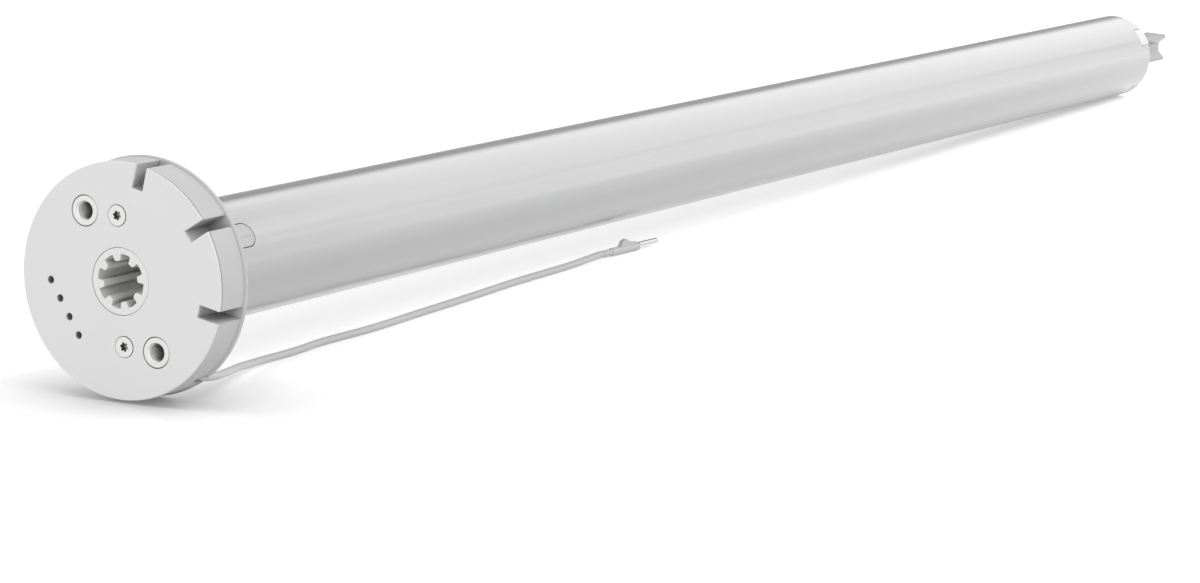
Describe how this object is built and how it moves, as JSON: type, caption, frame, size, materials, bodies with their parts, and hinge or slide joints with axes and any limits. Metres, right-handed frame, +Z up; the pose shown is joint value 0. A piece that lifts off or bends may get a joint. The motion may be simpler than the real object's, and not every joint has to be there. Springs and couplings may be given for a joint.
{
  "type": "tubular roller blind motor",
  "caption": "Slim tubular motor for a roller blind: round notched head with a splined socket, long aluminium tube, waisted drive shaft at the far end and a thin lead with a connector.",
  "frame": {"origin": "centre of the head's outer face, on the motor axis and in the middle of the two threaded bushes", "axes": "+X along the motor axis from the head to the output shaft; +Z up as the motor lies on its side"},
  "size_m": [0.856, 0.073, 0.073],
  "materials": {
    "head_face": "fine-grained satin, light grey",
    "head_body": "moulded satin, light grey",
    "socket": "moulded, pale grey",
    "bush_steel": "turned, nickel plated",
    "screw_steel": "zinc plated",
    "gland_rubber": "moulded",
    "tube_aluminium": "satin anodised, drawn tube",
    "cap_plastic": "moulded, white",
    "bearing_bronze": "sintered bronze",
    "washer_brass": "stamped",
    "ring_steel": "broached",
    "shield_alloy": "die cast",
    "bearing_steel": "ground",
    "can_steel": "drawn",
    "core_steel": "stacked laminations",
    "copper_wire": "enamelled copper",
    "brake_steel": "turned, phosphated",
    "pin_steel": "ground",
    "board_laminate": "solder resist",
    "inner_plastic": "moulded, dark grey",
    "cell_sleeve": "shrink sleeve",
    "capacitor_can": "shrink sleeve",
    "damper_rubber": "moulded",
    "lead_sheath": "extruded sheath, light grey",
    "shaft_steel": "sintered",
    "carrier_steel": "sintered",
    "spring_steel": "oiled",
    "magnet": "sintered",
    "friction_lining": "pressed lining",
    "gear_plastic": "moulded acetal",
    "gear_steel": "sintered",
    "connector_plastic": "moulded, light grey",
    "contact_metal": "plated"
  },
  "bodies": {
    "case": {"face_plate": "head_face", "head_body": "head_body", "socket_insert": "socket", "threaded_bushes": "bush_steel", "face_screws": "screw_steel", "cable_gland": "gland_rubber", "motor_tube": "tube_aluminium", "end_cap": "cap_plastic", "output_bearing": "bearing_bronze", "thrust_washer": "washer_brass", "ring_gear": "ring_steel", "front_shield": "shield_alloy", "front_bearing": "bearing_steel", "motor_can": "can_steel", "stator_core": "core_steel", "stator_windings": "copper_wire", "rear_shield": "shield_alloy", "rear_bearing": "bearing_steel", "brake_housing": "brake_steel", "brake_coil": "copper_wire", "brake_guide_pins": "pin_steel", "sensor_board": "board_laminate", "cell_cradle": "inner_plastic", "cells": "cell_sleeve", "electronics_tray": "inner_plastic", "control_board": "board_laminate", "bulk_capacitors": "capacitor_can", "head_damper": "damper_rubber", "inner_lead": "lead_sheath", "brake_spring": "spring_steel", "supply_lead": "lead_sheath", "connector_barrel": "connector_plastic", "connector_latch": "connector_plastic", "contact_pin": "contact_metal"},
    "rotor": {"rotor_shaft": "pin_steel", "rotor_core": "core_steel", "rotor_magnets": "magnet", "brake_disc": "friction_lining", "encoder_magnet": "magnet"},
    "brake_armature": {"brake_armature": "brake_steel"},
    "carrier_1": {"carrier_1": "carrier_steel", "planet_pins_1": "pin_steel"},
    "carrier_2": {"carrier_2": "carrier_steel", "planet_pins_2": "pin_steel"},
    "output": {"output_shaft": "shaft_steel", "output_carrier": "carrier_steel", "planet_pins_3": "pin_steel", "retaining_ring": "spring_steel"},
    "planet_1a": {"planet_1a": "gear_plastic"},
    "planet_1b": {"planet_1b": "gear_plastic"},
    "planet_1c": {"planet_1c": "gear_plastic"},
    "planet_2a": {"planet_2a": "gear_plastic"},
    "planet_2b": {"planet_2b": "gear_plastic"},
    "planet_2c": {"planet_2c": "gear_plastic"},
    "planet_3a": {"planet_3a": "gear_steel"},
    "planet_3b": {"planet_3b": "gear_steel"},
    "planet_3c": {"planet_3c": "gear_steel"}
  },
  "joints": [
    {"name": "output_spin", "type": "hinge", "parent": "case", "child": "output", "pos_m": [0.78, 0, 0], "axis": [1, 0, 0], "continuous": true},
    {"name": "carrier_2_spin", "type": "hinge", "parent": "case", "child": "carrier_2", "pos_m": [0.754, 0, 0], "axis": [1, 0, 0], "continuous": true},
    {"name": "carrier_1_spin", "type": "hinge", "parent": "case", "child": "carrier_1", "pos_m": [0.735, 0, 0], "axis": [1, 0, 0], "continuous": true},
    {"name": "rotor_spin", "type": "hinge", "parent": "case", "child": "rotor", "pos_m": [0.66, 0, 0], "axis": [1, 0, 0], "continuous": true},
    {"name": "planet_1a_spin", "type": "hinge", "parent": "carrier_1", "child": "planet_1a", "pos_m": [0.7276, 0.01012, 0], "axis": [1, 0, 0], "continuous": true},
    {"name": "planet_1b_spin", "type": "hinge", "parent": "carrier_1", "child": "planet_1b", "pos_m": [0.7276, -0.00506, 0.00876], "axis": [1, 0, 0], "continuous": true},
    {"name": "planet_1c_spin", "type": "hinge", "parent": "carrier_1", "child": "planet_1c", "pos_m": [0.7276, -0.00506, -0.00876], "axis": [1, 0, 0], "continuous": true},
    {"name": "planet_2a_spin", "type": "hinge", "parent": "carrier_2", "child": "planet_2a", "pos_m": [0.7444, 0.01012, 0], "axis": [1, 0, 0], "continuous": true},
    {"name": "planet_2b_spin", "type": "hinge", "parent": "carrier_2", "child": "planet_2b", "pos_m": [0.7444, -0.00506, 0.00876], "axis": [1, 0, 0], "continuous": true},
    {"name": "planet_2c_spin", "type": "hinge", "parent": "carrier_2", "child": "planet_2c", "pos_m": [0.7444, -0.00506, -0.00876], "axis": [1, 0, 0], "continuous": true},
    {"name": "planet_3a_spin", "type": "hinge", "parent": "output", "child": "planet_3a", "pos_m": [0.7662, 0.01012, 0], "axis": [1, 0, 0], "continuous": true},
    {"name": "planet_3b_spin", "type": "hinge", "parent": "output", "child": "planet_3b", "pos_m": [0.7662, -0.00506, 0.00876], "axis": [1, 0, 0], "continuous": true},
    {"name": "planet_3c_spin", "type": "hinge", "parent": "output", "child": "planet_3c", "pos_m": [0.7662, -0.00506, -0.00876], "axis": [1, 0, 0], "continuous": true},
    {"name": "brake_release", "type": "slide", "parent": "case", "child": "brake_armature", "axis": [-1, 0, 0], "range_m": [0, 0.0005], "stiffness_N_per_m": 400, "springref_m": -0.0005, "deforming": ["brake_spring"]}
  ],
  "couplings": [
    {"joint": "carrier_2_spin", "follows": "output_spin", "ratio": 4.5},
    {"joint": "carrier_1_spin", "follows": "output_spin", "ratio": 20.25},
    {"joint": "rotor_spin", "follows": "output_spin", "ratio": 91.125},
    {"joint": "planet_1a_spin", "follows": "output_spin", "ratio": -56.7},
    {"joint": "planet_1b_spin", "follows": "output_spin", "ratio": -56.7},
    {"joint": "planet_1c_spin", "follows": "output_spin", "ratio": -56.7},
    {"joint": "planet_2a_spin", "follows": "output_spin", "ratio": -12.6},
    {"joint": "planet_2b_spin", "follows": "output_spin", "ratio": -12.6},
    {"joint": "planet_2c_spin", "follows": "output_spin", "ratio": -12.6},
    {"joint": "planet_3a_spin", "follows": "output_spin", "ratio": -2.8},
    {"joint": "planet_3b_spin", "follows": "output_spin", "ratio": -2.8},
    {"joint": "planet_3c_spin", "follows": "output_spin", "ratio": -2.8}
  ]
}
